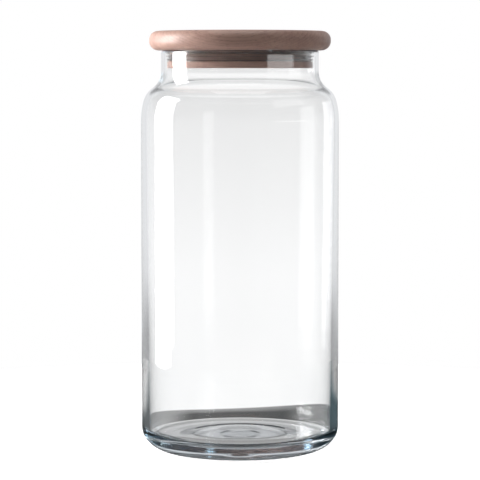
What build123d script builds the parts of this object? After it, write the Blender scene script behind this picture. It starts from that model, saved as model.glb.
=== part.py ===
from build123d import *
import math
import os

# A tall clear glass storage jar with a push-in wooden lid. Millimetres, +Z up.
# The origin is the centre of the foot, on the surface that the jar stands on.

# Glass jar, outside
body_diameter = 110.0
wall_height = 184.0
neck_diameter = 87.5
neck_length = 12.0
shoulder_broad_radius = 41.8
shoulder_steep_radius = 12.8
shoulder_turn = 15.0
neck_root_radius = 10.2

# Foot of the glass jar
heel_upper_radius = 10.5
heel_lower_radius = 15.5
heel_turn = 33.0
foot_ring_width = 7.0
push_up_depth = 3.0
push_up_edge_radius = 9.0

# Glass jar, inside
neck_wall = 2.15
shoulder_wall = 2.8
foot_wall = 4.2
floor_thickness = 9.4
inner_heel_radius = 4.0
mound_radius = 28.0
mound_rise = 2.5
mound_edge_radius = 12.0

# Lid: a wooden disc with a turned plug glued under it
disc_overhang = 6.65
disc_thickness = 10.7
disc_top_round = 4.8
disc_bottom_round = 5.2
rim_gap = 0.1
plug_depth = 9.8
plug_side_gap = 1.2
plug_edge_break = 0.4
plug_flange = 0.9
groove_depth = 2.9

# Silicone ring in the plug's groove
ring_height = 5.2
ring_fit = 0.05
ring_core = 1.6
fin_count = 3
fin_root = 1.5
fin_tip = 0.8
fin_step = 0.35
bore_fit = 0.08

body_radius = body_diameter / 2
neck_radius = neck_diameter / 2
bore_radius = neck_radius - neck_wall


def polar(centre, radius, degrees):
    """The point of a circle at an angle."""
    turn = math.radians(degrees)
    return (centre[0] + radius * math.cos(turn), centre[1] + radius * math.sin(turn))


def turned(edges):
    """A closed outline, drawn as radius and height, turned about the upright axis."""
    return revolve(make_face(Plane.XZ * Wire(edges)), Axis.Z)


def shoulder(wall_radius, throat_radius, broad, steep, root):
    """The curve from the straight wall in to the neck: two rounds and a hollow, all tangent."""
    broad_centre = (wall_radius - broad, wall_height)
    steep_centre = polar(broad_centre, broad - steep, shoulder_turn)
    root_centre_radius = throat_radius + root
    reach = steep + root
    neck_turn = math.degrees(math.acos((root_centre_radius - steep_centre[0]) / reach))
    root_centre = polar(steep_centre, reach, neck_turn)
    edges = [
        CenterArc(broad_centre, broad, 0, shoulder_turn),
        CenterArc(steep_centre, steep, shoulder_turn, neck_turn - shoulder_turn),
        CenterArc(root_centre, root, 180, neck_turn),
    ]
    return edges, (throat_radius, root_centre[1])


def crown_arc(edge_radius, edge_height, rise):
    """A shallow dome's half outline, from its edge in to the axis."""
    ball = (edge_radius**2 + rise**2) / (2 * rise)
    turn = math.degrees(math.asin(edge_radius / ball))
    return CenterArc((0, edge_height + rise - ball), ball, 90 - turn, turn)


def soften_crease(jar, crease_radius, height, round_radius):
    """Rounds the shallow crease where a dome meets the level ring about it."""
    crease = jar.edges().filter_by(GeomType.CIRCLE).filter_by(
        lambda edge: math.isclose(edge.radius, crease_radius, rel_tol=1e-6)
        and math.isclose(edge.center().Z, height, abs_tol=1e-6)
    )
    return fillet(crease, round_radius)


outer_shoulder, neck_bottom = shoulder(
    body_radius, neck_radius, shoulder_broad_radius, shoulder_steep_radius, neck_root_radius
)
inner_shoulder, bore_bottom = shoulder(
    body_radius - shoulder_wall,
    bore_radius,
    shoulder_broad_radius - shoulder_wall,
    shoulder_steep_radius - shoulder_wall,
    neck_root_radius + (neck_wall + shoulder_wall) / 2,
)

# The lid rests on the rim, and its plug and ring fit the bore
jar_height = neck_bottom[1] + neck_length
disc_radius = neck_radius + disc_overhang
disc_bottom = jar_height + rim_gap
plug_radius = bore_radius - plug_side_gap
plug_bottom = disc_bottom - plug_depth
groove_radius = plug_radius - groove_depth
groove_top = disc_bottom - plug_flange
groove_bottom = groove_top - ring_height - 2 * ring_fit


def glass_jar():
    # Foot: two rounds roll from the wall down to the ring that the jar stands on
    upper_centre_radius = body_radius - heel_upper_radius
    lower_centre_radius = upper_centre_radius - (heel_lower_radius - heel_upper_radius) * math.cos(
        math.radians(heel_turn)
    )
    lower_centre = (lower_centre_radius, heel_lower_radius)
    upper_centre = polar(lower_centre, heel_lower_radius - heel_upper_radius, -heel_turn)
    heel_top = (body_radius, upper_centre[1])
    push_up_radius = lower_centre_radius - foot_ring_width

    # Rim: melted to a full round
    rim_round = neck_wall / 2
    rim_side = jar_height - rim_round

    # Inside of the foot: a tight corner, a flat floor and a low round mound in its middle
    inner_heel_centre = (body_radius - foot_wall - inner_heel_radius, floor_thickness + inner_heel_radius)
    inner_heel_top = polar(inner_heel_centre, inner_heel_radius, 0)
    floor_edge = polar(inner_heel_centre, inner_heel_radius, -90)

    edges = [
        crown_arc(push_up_radius, 0, push_up_depth),
        Line((push_up_radius, 0), (lower_centre_radius, 0)),
        CenterArc(lower_centre, heel_lower_radius, -90, 90 - heel_turn),
        CenterArc(upper_centre, heel_upper_radius, -heel_turn, heel_turn),
        Line(heel_top, (body_radius, wall_height)),
        *outer_shoulder,
        Line(neck_bottom, (neck_radius, rim_side)),
        CenterArc((bore_radius + rim_round, rim_side), rim_round, 0, 180),
        Line((bore_radius, rim_side), bore_bottom),
        *inner_shoulder,
        Line((body_radius - shoulder_wall, wall_height), inner_heel_top),
        CenterArc(inner_heel_centre, inner_heel_radius, -90, 90),
        Line(floor_edge, (mound_radius, floor_thickness)),
        crown_arc(mound_radius, floor_thickness, mound_rise),
        Line((0, floor_thickness + mound_rise), (0, push_up_depth)),
    ]
    jar = turned(edges)
    jar = soften_crease(jar, push_up_radius, 0, push_up_edge_radius)
    return soften_crease(jar, mound_radius, floor_thickness, mound_edge_radius)


def lid_disc():
    disc_top = disc_bottom + disc_thickness
    top_round_centre = (disc_radius - disc_top_round, disc_top - disc_top_round)
    bottom_round_centre = (disc_radius - disc_bottom_round, disc_bottom + disc_bottom_round)
    return turned(
        [
            Line((0, disc_bottom), (bottom_round_centre[0], disc_bottom)),
            CenterArc(bottom_round_centre, disc_bottom_round, -90, 90),
            Line((disc_radius, bottom_round_centre[1]), (disc_radius, top_round_centre[1])),
            CenterArc(top_round_centre, disc_top_round, 0, 90),
            Line((top_round_centre[0], disc_top), (0, disc_top)),
            Line((0, disc_top), (0, disc_bottom)),
        ]
    )


def lid_plug():
    # A lip below the ring's groove, and a thin flange above it, against the disc
    corners = [
        (0, plug_bottom),
        (plug_radius - plug_edge_break, plug_bottom),
        (plug_radius, plug_bottom + plug_edge_break),
        (plug_radius, groove_bottom),
        (groove_radius, groove_bottom),
        (groove_radius, groove_top),
        (plug_radius, groove_top),
        (plug_radius, disc_bottom),
        (0, disc_bottom),
    ]
    return turned(Polyline(*corners, close=True).edges())


def seal_ring():
    # Fins that wipe the neck's bore, the widest at the top, each swept up to a rounded tip
    inner_radius = groove_radius + ring_fit
    core_radius = inner_radius + ring_core
    ring_bottom = groove_bottom + ring_fit
    pitch = (ring_height - fin_root) / (fin_count - 1)
    edges = []
    corner = (core_radius, ring_bottom)
    for number in range(fin_count):
        fin_bottom = ring_bottom + number * pitch
        fin_top = fin_bottom + fin_root
        tip_centre = (
            bore_radius - bore_fit - (fin_count - 1 - number) * fin_step - fin_tip / 2,
            fin_top - fin_tip / 2,
        )
        tip_low = polar(tip_centre, fin_tip / 2, -90)
        tip_high = polar(tip_centre, fin_tip / 2, 90)
        if number:
            edges.append(Line(corner, (core_radius, fin_bottom)))
        edges.append(Line((core_radius, fin_bottom), tip_low))
        edges.append(CenterArc(tip_centre, fin_tip / 2, -90, 180))
        edges.append(Line(tip_high, (core_radius, fin_top)))
        corner = (core_radius, fin_top)
    edges.append(Line(corner, (inner_radius, corner[1])))
    edges.append(Line((inner_radius, corner[1]), (inner_radius, ring_bottom)))
    edges.append(Line((inner_radius, ring_bottom), (core_radius, ring_bottom)))
    return turned(edges)


pieces = {
    "glass_jar": glass_jar(),
    "lid_disc": lid_disc(),
    "lid_plug": lid_plug(),
    "seal_ring": seal_ring(),
}

os.makedirs("parts", exist_ok=True)
for name, piece in pieces.items():
    piece.label = name
    export_step(piece, f"parts/{name}.step")
    print(f"{name}: {piece.volume / 1000:.1f} cm3, top at {piece.bounding_box().max.Z:.2f} mm")
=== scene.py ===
import math

import bpy
from mathutils import Matrix, Vector


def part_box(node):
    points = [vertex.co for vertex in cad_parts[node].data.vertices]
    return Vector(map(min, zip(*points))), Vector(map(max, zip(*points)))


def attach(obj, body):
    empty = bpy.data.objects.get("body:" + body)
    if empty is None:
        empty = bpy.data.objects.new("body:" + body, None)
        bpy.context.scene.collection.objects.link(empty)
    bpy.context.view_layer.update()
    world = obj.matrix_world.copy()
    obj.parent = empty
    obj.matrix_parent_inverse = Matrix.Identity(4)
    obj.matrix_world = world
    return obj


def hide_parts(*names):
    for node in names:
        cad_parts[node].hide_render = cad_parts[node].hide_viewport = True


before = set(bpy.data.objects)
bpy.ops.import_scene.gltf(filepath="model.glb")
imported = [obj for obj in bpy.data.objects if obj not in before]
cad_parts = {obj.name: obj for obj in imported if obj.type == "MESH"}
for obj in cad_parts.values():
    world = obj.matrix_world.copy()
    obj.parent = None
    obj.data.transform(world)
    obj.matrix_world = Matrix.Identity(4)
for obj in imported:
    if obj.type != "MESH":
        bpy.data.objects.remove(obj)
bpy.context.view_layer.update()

# A tall clear glass storage jar with a push-in wooden lid. Metres, +Z up, the camera looks along +Y.
mm = 0.001

# Boxes of the four pieces, and the sizes that follow from them
jar_low, jar_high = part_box("glass_jar")
disc_low, disc_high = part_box("lid_disc")
plug_low, plug_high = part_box("lid_plug")
ring_low, ring_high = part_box("seal_ring")

body_radius = (jar_high.x - jar_low.x) / 2
rim_height = jar_high.z
disc_radius = (disc_high.x - disc_low.x) / 2
plug_radius = (plug_high.x - plug_low.x) / 2
ring_radius = (ring_high.x - ring_low.x) / 2

# Glass jar, outside
wall_height = 184 * mm
neck_radius = 43.75 * mm
broad_radius = 41.8 * mm
steep_radius = 12.8 * mm
broad_turn = 15
root_radius = 10.2 * mm
heel_upper_radius = 10.5 * mm
heel_lower_radius = 15.5 * mm
heel_turn = 33
foot_ring_width = 7 * mm
push_up_depth = 3 * mm

# Glass jar, inside
neck_wall = 2.15 * mm
shoulder_wall = 2.8 * mm
foot_wall = 4.2 * mm
floor_thickness = 9.4 * mm
inner_heel_radius = 4 * mm
mound_radius = 28 * mm
mound_rise = 2.5 * mm

# Lid and ring
disc_top_round = 4.8 * mm
disc_bottom_round = 5.2 * mm
groove_depth = 2.9 * mm
plug_flange = 0.9 * mm
edge_ease = 0.35 * mm
ring_fit = 0.05 * mm
ring_core = 1.6 * mm
fin_count = 3
fin_root = 1.5 * mm
fin_tip = 0.8 * mm
fin_step = 0.35 * mm

# Fineness of the meshes: steps round the axis, degrees to a step along a round, steps along a dome, and
# how far from the ends of a straight wall its extra points lie
turn_steps = 240
arc_step = 3.5
least_arc_steps = 3
dome_steps = 14
wall_margin = 1.5 * mm
wall_margin_share = 0.3
weld_distance = 0.002 * mm

# Clear soda glass and clear silicone
glass_ior = 1.51
glass_tint = (0.60, 0.80, 0.92, 1)
glass_tint_density = 3.0
silicone_ior = 1.41
silicone_clear_share = 0.95
silicone_roughness = 0.06
silicone_cloud = 160.0
silicone_cloud_detail = 2.0
silicone_dull = (0.93, 0.93, 0.92, 1)
silicone_bright = (0.97, 0.97, 0.96, 1)

# Oiled wood: its colours, and the tones at which they stand
wood_pale = (0.66, 0.425, 0.345, 1)
wood_middle = (0.53, 0.315, 0.255, 1)
wood_dark = (0.34, 0.185, 0.145, 1)
pore_brown = (0.20, 0.11, 0.08, 1)
pale_tone = 0.36
middle_tone = 0.62
dark_tone = 0.92

# Oiled wood: its figure, with grain in waves to the metre along the fibres and across them
ring_pitch = 1.4 * mm
ring_drift = 1.5
late_wood_span = (0.35, 0.95)
drift_waves = (7, 34, 34)
fibre_waves = (30, 1100, 1100)
streak_waves = (9, 190, 190)
pore_waves = (160, 1500, 1500)
pore_span = (0.12, 0.30)
late_wood_weight = 0.12
fibre_weight = 0.36
streak_weight = 0.62
pore_weight = 0.45

# Oiled wood: how it is laid in the board and in the plug, in degrees and in distances across and up
board_turn = 3
board_pith = (20 * mm, 140 * mm)
plug_turn = -6
plug_pith = (-30 * mm, 160 * mm)

# Oiled wood: its surface
bump_depth = 0.06 * mm
bump_strength = 0.25
fibre_height = 0.5
late_wood_height = 0.2
wood_roughness = 0.42
fibre_roughness = 0.15
wood_specular = 0.4
wood_coat = 0.35
wood_coat_roughness = 0.35

# Camera, as fitted to the outline in the photograph
camera_distance = 1.2614
camera_height = 212.3 * mm
camera_tilt = 4.31
camera_lens = 169.85
camera_sensor = 36

# Light goes many times round the thick foot: with few bounces, black lines show in it
glass_bounces = 64

white = (1, 1, 1, 1)

# Air, where glass mirrors it: a white sheet behind the jar, dimmer at its foot, its top and in a patch,
# in a dim room. A rise is the sine of the angle above level, and a bearing counts from straight behind.
sheet_level = 0.8
sheet_side_span = (math.radians(36), math.radians(80))
sheet_foot_level = 0.35
sheet_foot_span = (-0.135, -0.105)
sheet_top_level = 0.25
sheet_top_span = (0.35, 0.7)
patch_level = 0.2
patch_foot_span = (0.19, 0.225)
patch_top_span = (0.42, 0.46)
patch_side_span = (math.radians(20), math.radians(26))
room_level = 0.12
air_cool = (0.98, 0.99, 1.01, 1)

# Air, straight through the glass: a little brighter low down and to the sides, and dimmer steeply down
view_levels = (1.10, 0.915)
view_span = (-0.10, -0.01)
view_side_gain = 1.13
view_side_span = (0.0, math.radians(16))
steep_level = 0.8
steep_span = (-0.26, -0.17)

# Air, for matt surfaces in the open and behind glass, where the far left is bright
open_air_level = 0.155
inside_levels = (6.0, 0.27)
inside_left_span = (-0.95, -0.8)

# Floor: a pale matt disc, seen by the camera as white
floor_radius = 0.37
floor_sides = 96
floor_tone = 0.85
floor_glow = 0.8

# Floor, straight through the glass: painted shadow, darker under the foot, and gone a little past the jar
painted_shadow_tone = 0.4
beside_tone = 0.85
painted_shadow_span = (35 * mm, 60 * mm)
floor_gone_span = (62 * mm, 64 * mm)

# Floor, where glass mirrors it: painted shade, dark and cool near the jar and to its sides, lighter far in
# front and behind
mirror_painted_shade_tone = 0.12
mirror_open_tones = (0.5, 0.45)
mirror_open_span = (-50 * mm, 120 * mm)
mirror_centre = (50 * mm, 0, 0)
mirror_reach_span = (155 * mm, 215 * mm)
mirror_slant_span = (math.radians(37), math.radians(50))
cool_left = (0.92, 1.0, 1.03, 1)
cool_right = (0.70, 1.0, 1.12, 1)
cool_span = (20 * mm, 100 * mm)

# Shade band: its top edge rises to the right and bows up to both sides. It gets darker over the first 4 mm
# below that edge, and it is lighter at its left and right ends.
band_radius = 60.5 * mm
band_height = 30 * mm
band_sides = 120
band_top = 13.4 * mm
band_lean = 0.041
band_bow = 1.7
band_edge_span = (-0.2 * mm, 0.4 * mm)
band_tones = (0.36, 0.09)
band_tone_span = (0.0, 4 * mm)
band_left_tone = 0.45
band_left_span = (-50 * mm, -26 * mm)
band_right_tone = 0.30
band_right_span = (25 * mm, 45 * mm)

# Softboxes are dim for rays that have passed more than three faces of glass, with at most one mirrored
# bounce and none off a matt surface
deep_lamp_level = 0.08
deep_faces = 3
deep_bounces = 1


def polar(centre, radius, degrees):
    """The point of a circle at an angle."""
    turn = math.radians(degrees)
    return (centre[0] + radius * math.cos(turn), centre[1] + radius * math.sin(turn))


def straight(*points):
    """Straight strokes of an outline, one to each point of radius and height."""
    return [("straight", point) for point in points]


def arc(centre, sweep, steps=0):
    """A round stroke of an outline: a sweep in degrees about a centre, anticlockwise where it is positive."""
    return [("round", centre, sweep, steps or max(least_arc_steps, round(abs(sweep) / arc_step)))]


def wall(start, end, margin=wall_margin):
    """A straight stretch with a ring of points near each end, so that its shading stays straight."""
    near = min(margin / math.dist(start, end), wall_margin_share)
    shares = (near, 1 - near, 1)
    return straight(*(tuple(a + (b - a) * share for a, b in zip(start, end)) for share in shares))


def dome(edge_radius, edge_height, rise):
    """A shallow dome: the centre of its ball, and its sweep from the axis out to the edge."""
    ball = (edge_radius**2 + rise**2) / (2 * rise)
    return (0, edge_height + rise - ball), math.degrees(math.asin(edge_radius / ball))


def shoulder(wall_radius, throat_radius, broad, steep, root):
    """The curve from the straight wall in to the neck: two rounds and a hollow, all tangent."""
    broad_centre = (wall_radius - broad, wall_height)
    steep_centre = polar(broad_centre, broad - steep, broad_turn)
    reach = steep + root
    neck_turn = math.degrees(math.acos((throat_radius + root - steep_centre[0]) / reach))
    root_centre = polar(steep_centre, reach, neck_turn)
    strokes = [
        *arc(broad_centre, broad_turn),
        *arc(steep_centre, neck_turn - broad_turn),
        *arc(root_centre, -neck_turn),
    ]
    return strokes, (throat_radius, root_centre[1])


def backwards(strokes):
    """Round strokes drawn from their far end."""
    return [("round", centre, -sweep, steps) for _, centre, sweep, steps in reversed(strokes)]


def draw_outline(start, strokes):
    """Draws straight and round strokes one after another, from one point of radius and height."""
    bpy.ops.object.select_all(action="DESELECT")
    bpy.ops.mesh.primitive_plane_add(size=mm, location=(start[0], 0, start[1]))
    bpy.ops.object.mode_set(mode="EDIT")
    bpy.ops.mesh.select_all(action="SELECT")
    bpy.ops.mesh.merge(type="CENTER")
    tip = Vector((start[0], 0, start[1]))
    for kind, place, *sweep in strokes:
        pivot = Vector((place[0], 0, place[1]))
        if kind == "straight":
            bpy.ops.mesh.extrude_region_move(TRANSFORM_OT_translate={"value": pivot - tip})
            tip = pivot
        else:
            turn = math.radians(sweep[0])
            bpy.ops.mesh.spin(steps=sweep[1], angle=turn, center=pivot, axis=(0, 1, 0))
            tip = pivot + Matrix.Rotation(-turn, 3, "Y") @ (tip - pivot)
    bpy.ops.object.mode_set(mode="OBJECT")
    bpy.ops.object.transform_apply(location=True, rotation=True, scale=True)
    return bpy.context.object


def lathe(name, start, strokes):
    """Turns an outline round the axis into one closed, smooth piece."""
    piece = draw_outline(start, strokes)
    bpy.ops.object.modifier_add(type="SCREW")
    screw = piece.modifiers[-1]
    screw.steps = screw.render_steps = turn_steps
    screw.use_merge_vertices = True
    bpy.ops.object.modifier_apply(modifier=screw.name)
    bpy.ops.object.mode_set(mode="EDIT")
    bpy.ops.mesh.select_all(action="SELECT")
    bpy.ops.mesh.remove_doubles(threshold=weld_distance)
    bpy.ops.mesh.normals_make_consistent(inside=False)
    bpy.ops.object.mode_set(mode="OBJECT")
    bpy.ops.object.shade_smooth()
    piece.name = piece.data.name = name
    return piece


def blown_jar():
    """Foot, wall, shoulder, neck and rim outside, then down the bore to the floor inside."""
    upper_centre_radius = body_radius - heel_upper_radius
    roll = heel_lower_radius - heel_upper_radius
    lower_centre = (upper_centre_radius - roll * math.cos(math.radians(heel_turn)), heel_lower_radius)
    upper_centre = polar(lower_centre, roll, -heel_turn)
    push_up_radius = lower_centre[0] - foot_ring_width
    push_up_ball, push_up_sweep = dome(push_up_radius, 0, push_up_depth)

    outer_shoulder, neck_bottom = shoulder(
        body_radius, neck_radius, broad_radius, steep_radius, root_radius
    )
    bore_radius = neck_radius - neck_wall
    inner_shoulder, bore_bottom = shoulder(
        body_radius - shoulder_wall,
        bore_radius,
        broad_radius - shoulder_wall,
        steep_radius - shoulder_wall,
        root_radius + (neck_wall + shoulder_wall) / 2,
    )
    rim_round = neck_wall / 2
    rim_centre = (bore_radius + rim_round, rim_height - rim_round)
    heel_centre = (body_radius - foot_wall - inner_heel_radius, floor_thickness + inner_heel_radius)
    heel_top = polar(heel_centre, inner_heel_radius, 0)
    mound_ball, mound_sweep = dome(mound_radius, floor_thickness, mound_rise)

    strokes = [
        *arc(push_up_ball, -push_up_sweep, dome_steps),
        *wall((push_up_radius, 0), (lower_centre[0], 0)),
        *arc(lower_centre, 90 - heel_turn),
        *arc(upper_centre, heel_turn),
        *wall((body_radius, upper_centre[1]), (body_radius, wall_height)),
        *outer_shoulder,
        *wall(neck_bottom, (neck_radius, rim_centre[1])),
        *arc(rim_centre, 180),
        *wall((bore_radius, rim_centre[1]), bore_bottom),
        *backwards(inner_shoulder),
        *wall((body_radius - shoulder_wall, wall_height), heel_top),
        *arc(heel_centre, -90),
        *wall((heel_centre[0], floor_thickness), (mound_radius, floor_thickness)),
        *arc(mound_ball, mound_sweep, dome_steps),
    ]
    return lathe("jar_glass", (0, push_up_depth), strokes)


def turned_disc():
    """The top board, flat above and below, with a rounded edge."""
    top_centre = (disc_radius - disc_top_round, disc_high.z - disc_top_round)
    bottom_centre = (disc_radius - disc_bottom_round, disc_low.z + disc_bottom_round)
    strokes = [
        *straight((disc_radius / 2, disc_low.z)),
        *wall((disc_radius / 2, disc_low.z), (bottom_centre[0], disc_low.z)),
        *arc(bottom_centre, 90),
        *straight((disc_radius, top_centre[1])),
        *arc(top_centre, 90),
        *wall((top_centre[0], disc_high.z), (disc_radius / 2, disc_high.z)),
        *straight((0, disc_high.z)),
    ]
    return lathe("lid_top_board", (0, disc_low.z), strokes)


def turned_plug():
    """A lip, the ring's groove and a thin flange, with eased edges."""
    groove_radius = plug_radius - groove_depth
    groove_top = plug_high.z - plug_flange
    groove_bottom = ring_low.z - ring_fit
    lip = (plug_radius - edge_ease, plug_low.z + edge_ease)
    shelf = (plug_radius - edge_ease, groove_bottom - edge_ease)
    strokes = [
        *straight((plug_radius / 2, plug_low.z)),
        *wall((plug_radius / 2, plug_low.z), (lip[0], plug_low.z)),
        *arc(lip, 90),
        *straight((plug_radius, shelf[1])),
        *arc(shelf, 90),
        *wall((shelf[0], groove_bottom), (groove_radius, groove_bottom), edge_ease),
        *wall((groove_radius, groove_bottom), (groove_radius, groove_top), edge_ease),
        *wall((groove_radius, groove_top), (plug_radius, groove_top), edge_ease),
        *wall((plug_radius, groove_top), (plug_radius, plug_high.z), edge_ease),
        *straight((0, plug_high.z)),
    ]
    return lathe("lid_plug_turned", (0, plug_low.z), strokes)


def finned_ring():
    """A core with fins, the widest at the top, each with a rounded tip."""
    inner_radius = plug_radius - groove_depth + ring_fit
    core_radius = inner_radius + ring_core
    pitch = (ring_high.z - ring_low.z - fin_root) / (fin_count - 1)
    strokes = []
    for number in range(fin_count):
        fin_bottom = ring_low.z + number * pitch
        fin_top = fin_bottom + fin_root
        tip = (ring_radius - (fin_count - 1 - number) * fin_step - fin_tip / 2, fin_top - fin_tip / 2)
        if number:
            strokes += straight((core_radius, fin_bottom))
        strokes += straight((tip[0], tip[1] - fin_tip / 2))
        strokes += arc(tip, 180)
        strokes += straight((core_radius, fin_top))
    strokes += straight((inner_radius, ring_high.z), (inner_radius, ring_low.z), (core_radius, ring_low.z))
    return lathe("seal_ring_silicone", (core_radius, ring_low.z), strokes)


def finish_piece(piece, node, body, material):
    """Gives a piece its material, hides the part of the model that it stands for, and hangs it from what it
    moves with.
    """
    piece.data.materials.clear()
    piece.data.materials.append(material)
    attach(piece, body)
    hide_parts(node)


def add(tree, kind, inputs=None, **settings):
    """A shader node with its settings, its plain values and the sockets that feed it."""
    made = tree.nodes.new(kind)
    for key, value in settings.items():
        setattr(made, key, value)
    for key, value in (inputs or {}).items():
        if isinstance(value, bpy.types.NodeSocket):
            tree.links.new(value, made.inputs[key])
        else:
            made.inputs[key].default_value = value
    return made


def maths(tree, operation, *values, clamp=False):
    """One step of arithmetic on levels or numbers."""
    made = add(tree, "ShaderNodeMath", dict(enumerate(values)), operation=operation, use_clamp=clamp)
    return made.outputs[0]


def product(tree, first, *others):
    """Levels multiplied with each other."""
    for other in others:
        first = maths(tree, "MULTIPLY", first, other)
    return first


def more_than(tree, count, limit):
    """One where a count is over a whole number, and zero elsewhere."""
    return maths(tree, "GREATER_THAN", count, limit + 0.5)


def at_most(tree, count, limit):
    """One where a count is a whole number or less, and zero elsewhere."""
    return maths(tree, "LESS_THAN", count, limit + 0.5)


def ramp(tree, value, span, levels, smooth=True):
    """A level that goes from the first of two levels to the second while the value crosses a span."""
    sockets = {
        "Value": value,
        "From Min": span[0],
        "From Max": span[1],
        "To Min": levels[0],
        "To Max": levels[1],
    }
    kind = "SMOOTHSTEP" if smooth else "LINEAR"
    return add(tree, "ShaderNodeMapRange", sockets, interpolation_type=kind).outputs[0]


def blend_levels(tree, factor, low, high):
    """The low level where the factor is zero, and the high one where it is one."""
    return add(tree, "ShaderNodeMix", {"Factor": factor, "A": low, "B": high}, data_type="FLOAT").outputs[0]


def blend_colours(tree, factor, low, high):
    """The same for two colours."""
    made = add(tree, "ShaderNodeMix", {"Factor": factor, "A": low, "B": high}, data_type="RGBA")
    return made.outputs["Result"]


def length(tree, vector):
    """The length of a vector."""
    return add(tree, "ShaderNodeVectorMath", {0: vector}, operation="LENGTH").outputs["Value"]


def blank_material(name):
    """A new material with no nodes yet, and its tree."""
    material = bpy.data.materials.new(name)
    material.use_nodes = True
    material.node_tree.nodes.clear()
    return material, material.node_tree


def clear_glass():
    """Soda glass: smooth, with a faint blue-green in its thickness."""
    material, tree = blank_material("clear soda glass")
    surface = add(
        tree,
        "ShaderNodeBsdfPrincipled",
        {"Base Color": white, "Roughness": 0.0, "IOR": glass_ior, "Transmission Weight": 1.0},
    )
    tint = add(tree, "ShaderNodeVolumeAbsorption", {"Color": glass_tint, "Density": glass_tint_density})
    add(tree, "ShaderNodeOutputMaterial", {"Surface": surface.outputs[0], "Volume": tint.outputs[0]})
    return material


def clear_silicone():
    """Silicone: clear, a little cloudy and not quite smooth."""
    material, tree = blank_material("clear silicone")
    place = add(tree, "ShaderNodeTexCoord").outputs["Object"]
    cloud = add(
        tree,
        "ShaderNodeTexNoise",
        {"Vector": place, "Scale": silicone_cloud, "Detail": silicone_cloud_detail},
    )
    surface = add(
        tree,
        "ShaderNodeBsdfPrincipled",
        {
            "Base Color": blend_colours(tree, cloud.outputs["Fac"], silicone_dull, silicone_bright),
            "Roughness": silicone_roughness,
            "IOR": silicone_ior,
            "Transmission Weight": silicone_clear_share,
        },
    )
    add(tree, "ShaderNodeOutputMaterial", {"Surface": surface.outputs[0]})
    return material


def drawn_out(tree, laid, waves):
    """Places scaled so that a pattern is drawn out along the fibres."""
    return add(tree, "ShaderNodeMapping", {"Vector": laid, "Scale": waves}).outputs[0]


def grain(tree, laid, waves, detail):
    """Noise drawn out along the fibres."""
    place = drawn_out(tree, laid, waves)
    return add(tree, "ShaderNodeTexNoise", {"Vector": place, "Scale": 1.0, "Detail": detail}).outputs["Fac"]


def late_wood(tree, laid, pith):
    """The dark part of each growth ring; the rings lie round a pith line along X, and drift a little."""
    xyz = add(tree, "ShaderNodeSeparateXYZ", {"Vector": laid}).outputs
    across = maths(tree, "SUBTRACT", xyz["Y"], pith[0])
    up = maths(tree, "SUBTRACT", xyz["Z"], pith[1])
    squares = maths(tree, "ADD", product(tree, across, across), product(tree, up, up))
    rings = maths(tree, "DIVIDE", maths(tree, "SQRT", squares), ring_pitch)
    drift = product(tree, grain(tree, laid, drift_waves, detail=2.0), ring_drift)
    place_in_ring = maths(tree, "FRACT", maths(tree, "ADD", rings, drift))
    return ramp(tree, place_in_ring, late_wood_span, (0.0, 1.0))


def open_pores(tree, laid):
    """Short fine pores along the fibres."""
    place = drawn_out(tree, laid, pore_waves)
    cells = add(tree, "ShaderNodeTexVoronoi", {"Vector": place, "Scale": 1.0}).outputs["Distance"]
    return ramp(tree, cells, pore_span, (1.0, 0.0), smooth=False)


def oiled_wood(name, turn, pith):
    """Fine-grained wood with its fibres along X: growth rings, fibres, streaks and pores."""
    material, tree = blank_material(name)
    place = add(tree, "ShaderNodeTexCoord").outputs["Object"]
    laid = add(
        tree, "ShaderNodeMapping", {"Vector": place, "Rotation": (0, 0, math.radians(turn))}
    ).outputs[0]
    late = late_wood(tree, laid, pith)
    fibre = grain(tree, laid, fibre_waves, detail=4.0)
    streak = grain(tree, laid, streak_waves, detail=3.0)
    pore = open_pores(tree, laid)

    streaky = maths(tree, "ADD", product(tree, fibre, fibre_weight), product(tree, streak, streak_weight))
    tone = maths(tree, "ADD", product(tree, late, late_wood_weight), streaky)
    colour = add(tree, "ShaderNodeValToRGB", {"Fac": tone})
    stops = colour.color_ramp.elements
    stops[0].position, stops[0].color = pale_tone, wood_pale
    stops[1].position, stops[1].color = dark_tone, wood_dark
    stops.new(middle_tone).color = wood_middle
    porous = blend_colours(tree, product(tree, pore, pore_weight), colour.outputs["Color"], pore_brown)

    hollow = maths(tree, "ADD", pore, product(tree, late, late_wood_height))
    height = maths(tree, "SUBTRACT", product(tree, fibre, fibre_height), hollow)
    bump = add(
        tree, "ShaderNodeBump", {"Height": height, "Strength": bump_strength, "Distance": bump_depth}
    )
    surface = add(
        tree,
        "ShaderNodeBsdfPrincipled",
        {
            "Base Color": porous,
            "Roughness": maths(tree, "ADD", product(tree, fibre, fibre_roughness), wood_roughness),
            "Normal": bump.outputs[0],
            "Specular IOR Level": wood_specular,
            "Coat Weight": wood_coat,
            "Coat Roughness": wood_coat_roughness,
        },
    )
    add(tree, "ShaderNodeOutputMaterial", {"Surface": surface.outputs[0]})
    return material


def ray_kinds(tree):
    """Four kinds of ray: from the camera, straight through glass, off matt wood inside it, and mirrored."""
    path = add(tree, "ShaderNodeLightPath").outputs
    bounced = more_than(tree, path["Glossy Depth"], 0)
    scattered = more_than(tree, path["Diffuse Depth"], 0)
    entered = more_than(tree, path["Transmission Depth"], 0)
    unscattered = maths(tree, "SUBTRACT", 1.0, scattered)
    direct = maths(tree, "SUBTRACT", unscattered, bounced)
    return {
        "camera": path["Is Camera Ray"],
        "straight": maths(tree, "MULTIPLY", entered, direct, clamp=True),
        "inside": product(tree, entered, scattered),
        "mirrored": product(tree, bounced, unscattered),
    }


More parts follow.
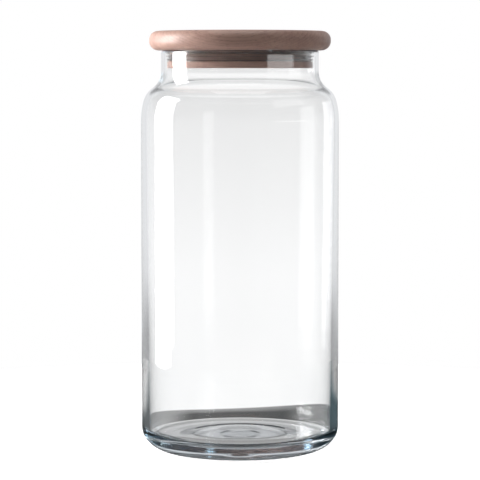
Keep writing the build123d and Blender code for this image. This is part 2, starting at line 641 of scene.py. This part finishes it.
def studio_air():
    """The world: white for the camera, and with a level of its own for each other kind of ray."""
    world = bpy.data.worlds.new("studio")
    bpy.context.scene.world = world
    world.use_nodes = True
    tree = world.node_tree
    tree.nodes.clear()
    kinds = ray_kinds(tree)
    heading = add(tree, "ShaderNodeTexCoord").outputs["Generated"]
    xyz = add(tree, "ShaderNodeSeparateXYZ", {"Vector": heading}).outputs
    rise = xyz["Z"]
    bearing = maths(tree, "ABSOLUTE", maths(tree, "ARCTAN2", xyz["X"], xyz["Y"]))

    patch = product(
        tree,
        ramp(tree, rise, patch_foot_span, (0.0, 1.0)),
        ramp(tree, rise, patch_top_span, (1.0, 0.0)),
        ramp(tree, bearing, patch_side_span, (1.0, 0.0)),
    )
    sheet = product(
        tree,
        ramp(tree, bearing, sheet_side_span, (1.0, 0.0)),
        ramp(tree, rise, sheet_foot_span, (sheet_foot_level, 1.0)),
        ramp(tree, rise, sheet_top_span, (1.0, sheet_top_level)),
        blend_levels(tree, patch, 1.0, patch_level),
    )
    room = blend_levels(tree, sheet, room_level, sheet_level)
    view = product(
        tree,
        ramp(tree, rise, view_span, view_levels, smooth=False),
        ramp(tree, bearing, view_side_span, (1.0, view_side_gain), smooth=False),
        ramp(tree, rise, steep_span, (steep_level, 1.0)),
    )
    behind_glass = ramp(tree, xyz["X"], inside_left_span, inside_levels)

    level = blend_levels(tree, kinds["inside"], open_air_level, behind_glass)
    level = blend_levels(tree, kinds["mirrored"], level, room)
    level = blend_levels(tree, kinds["straight"], level, view)
    level = blend_levels(tree, kinds["camera"], level, 1.0)
    tint = blend_colours(tree, kinds["mirrored"], white, air_cool)
    air = add(tree, "ShaderNodeBackground", {"Color": tint, "Strength": level})
    add(tree, "ShaderNodeOutputWorld", {"Surface": air.outputs[0]})


def mirrored_floor(tree, place):
    """The tone and the tint of the floor where glass mirrors it, with painted shade near the jar and to its
    sides.
    """
    xyz = add(tree, "ShaderNodeSeparateXYZ", {"Vector": place}).outputs
    from_centre = add(tree, "ShaderNodeVectorMath", {0: place, 1: mirror_centre}, operation="SUBTRACT")
    reach = length(tree, from_centre.outputs[0])
    slant = maths(tree, "ARCTAN2", maths(tree, "ABSOLUTE", xyz["Y"]), maths(tree, "ABSOLUTE", xyz["X"]))
    open_floor = product(
        tree,
        ramp(tree, reach, mirror_reach_span, (0.0, 1.0)),
        ramp(tree, slant, mirror_slant_span, (0.0, 1.0)),
    )
    open_tone = ramp(tree, xyz["X"], mirror_open_span, mirror_open_tones)
    # Painted shade: the mirrored floor is dark near the jar and to its sides
    tone = blend_levels(tree, open_floor, mirror_painted_shade_tone, open_tone)
    cool = blend_colours(tree, ramp(tree, xyz["X"], cool_span, (0.0, 1.0)), cool_left, cool_right)
    return tone, blend_colours(tree, open_floor, cool, white)


def pale_floor():
    """A matt disc. Straight through the glass it glows near the foot, darker under the foot as a painted
    shadow, and lets the air show past that.
    """
    bpy.ops.object.select_all(action="DESELECT")
    bpy.ops.mesh.primitive_circle_add(
        vertices=floor_sides, radius=floor_radius, fill_type="NGON", location=(0, 0, 0)
    )
    floor = bpy.context.object
    floor.name = "floor"
    material, tree = blank_material("pale floor")
    kinds = ray_kinds(tree)
    place = add(tree, "ShaderNodeTexCoord").outputs["Object"]
    away = length(tree, place)

    mirror_tone, mirror_tint = mirrored_floor(tree, place)
    tone = blend_levels(tree, kinds["mirrored"], floor_tone, mirror_tone)
    tone = blend_levels(tree, kinds["straight"], tone, 0.0)
    tint = blend_colours(tree, kinds["mirrored"], white, mirror_tint)
    colour = add(tree, "ShaderNodeVectorMath", {0: tint, "Scale": tone}, operation="SCALE").outputs[0]
    matt = add(tree, "ShaderNodeBsdfDiffuse", {"Color": colour})

    # Painted shadow: the glow seen straight through the glass is darker under the foot
    through = product(tree, kinds["straight"], ramp(tree, away, painted_shadow_span, (painted_shadow_tone, beside_tone)))
    seen = maths(tree, "MAXIMUM", product(tree, kinds["camera"], floor_glow), through)
    glow = add(tree, "ShaderNodeEmission", {"Strength": seen})
    lit = add(tree, "ShaderNodeAddShader", {0: matt.outputs[0], 1: glow.outputs[0]})
    clear = add(tree, "ShaderNodeBsdfTransparent")
    gone = product(tree, kinds["straight"], ramp(tree, away, floor_gone_span, (0.0, 1.0)))
    both = add(tree, "ShaderNodeMixShader", {0: gone, 1: lit.outputs[0], 2: clear.outputs[0]})
    add(tree, "ShaderNodeOutputMaterial", {"Surface": both.outputs[0]})
    floor.data.materials.append(material)


def shade_band():
    """A low dark band round the foot, seen only straight through the glass."""
    bpy.ops.object.select_all(action="DESELECT")
    bpy.ops.mesh.primitive_cylinder_add(
        vertices=band_sides,
        radius=band_radius,
        depth=band_height,
        end_fill_type="NOTHING",
        location=(0, 0, band_height / 2),
    )
    bpy.ops.object.transform_apply(location=True)
    band = bpy.context.object
    band.name = "shade band"
    material, tree = blank_material("shade band")
    kinds = ray_kinds(tree)
    place = add(tree, "ShaderNodeTexCoord").outputs["Object"]
    xyz = add(tree, "ShaderNodeSeparateXYZ", {"Vector": place}).outputs

    bow = product(tree, xyz["X"], xyz["X"], band_bow)
    rise = maths(tree, "ADD", product(tree, xyz["X"], band_lean), bow)
    below_top = maths(tree, "SUBTRACT", maths(tree, "ADD", rise, band_top), xyz["Z"])
    solid = ramp(tree, below_top, band_edge_span, (0.0, 1.0), smooth=False)
    tone = ramp(tree, below_top, band_tone_span, band_tones)
    tone = blend_levels(tree, ramp(tree, xyz["X"], band_left_span, (1.0, 0.0)), tone, band_left_tone)
    tone = blend_levels(tree, ramp(tree, xyz["X"], band_right_span, (0.0, 1.0)), tone, band_right_tone)
    dark = add(tree, "ShaderNodeEmission", {"Strength": tone})
    clear = add(tree, "ShaderNodeBsdfTransparent")
    shown = product(tree, kinds["straight"], solid)
    both = add(tree, "ShaderNodeMixShader", {0: shown, 1: clear.outputs[0], 2: dark.outputs[0]})
    add(tree, "ShaderNodeOutputMaterial", {"Surface": both.outputs[0]})
    band.data.materials.append(material)
    band.visible_camera = False
    band.visible_diffuse = False
    band.visible_shadow = False


def area_lamp(name, width, height, power):
    """A rectangular lamp that the camera doesn't see."""
    lamp = bpy.data.lights.new(name, "AREA")
    lamp.shape = "RECTANGLE"
    lamp.size = width
    lamp.size_y = height
    lamp.energy = power
    placed = bpy.data.objects.new(name, lamp)
    bpy.context.scene.collection.objects.link(placed)
    placed.visible_camera = False
    return placed


def softbox(name, direction, distance, width, height, middle, power):
    """A lamp that stands away from the jar and faces its axis, with its middle at a height.

    The direction counts in degrees from +X. For rays deep in the glass the lamp is dim."""
    placed = area_lamp(name, width, height, power)
    placed.data.use_nodes = True
    tree = placed.data.node_tree
    path = add(tree, "ShaderNodeLightPath").outputs
    deep = product(
        tree,
        more_than(tree, path["Transmission Depth"], deep_faces),
        at_most(tree, path["Diffuse Depth"], 0),
        at_most(tree, path["Glossy Depth"], deep_bounces),
    )
    level = blend_levels(tree, deep, 1.0, deep_lamp_level)
    tree.links.new(level, tree.nodes["Emission"].inputs["Strength"])
    turn = math.radians(direction)
    placed.location = (distance * math.cos(turn), distance * math.sin(turn), middle)
    aim = Vector((0, 0, middle)) - placed.location
    placed.rotation_euler = aim.to_track_quat("-Z", "Y").to_euler()
    return placed


def window(name, **sizes):
    """A lamp that shows in the glass and the oiled wood, and lights nothing matt."""
    softbox(name, **sizes).visible_diffuse = False


def overhead_panel(width, height, power):
    """A square lamp over the jar, which doesn't show through the glass."""
    placed = area_lamp("overhead panel", width, width, power)
    placed.location = (0, 0, height)
    placed.visible_transmission = False


def photo_camera():
    """The camera in front of the jar, level with the foot of its neck and tilted down a little."""
    camera = bpy.data.cameras.new("camera")
    camera.lens = camera_lens
    camera.sensor_width = camera_sensor
    placed = bpy.data.objects.new("camera", camera)
    bpy.context.scene.collection.objects.link(placed)
    placed.location = (0, -camera_distance, camera_height)
    placed.rotation_euler = (math.radians(90 - camera_tilt), 0, 0)
    bpy.context.scene.camera = placed


photo_camera()
finish_piece(blown_jar(), "glass_jar", "jar", clear_glass())
finish_piece(turned_disc(), "lid_disc", "lid", oiled_wood("oiled board", board_turn, board_pith))
finish_piece(turned_plug(), "lid_plug", "lid", oiled_wood("oiled plug", plug_turn, plug_pith))
finish_piece(finned_ring(), "seal_ring", "seal", clear_silicone())
pale_floor()
shade_band()
studio_air()
softbox("left softbox", direction=171, distance=0.8, width=0.41, height=0.75, middle=0.345, power=12.5)
softbox("left softbox foot", direction=171, distance=0.8, width=0.41, height=0.022, middle=-0.041, power=0.2)
softbox("right strip", direction=0, distance=0.9, width=0.40, height=0.8, middle=0.28, power=0.35)
window("front window", direction=-27.5, distance=3.0, width=2.4, height=0.03, middle=0.2295, power=0.574)
window("upper window", direction=-27.5, distance=0.9, width=0.72, height=0.4, middle=0.70, power=0.6)
overhead_panel(width=0.5, height=0.9, power=1.5)

cycles = bpy.context.scene.cycles
cycles.max_bounces = glass_bounces
cycles.transmission_bounces = glass_bounces
cycles.glossy_bounces = glass_bounces

bpy.context.scene.view_settings.view_transform = "Standard"
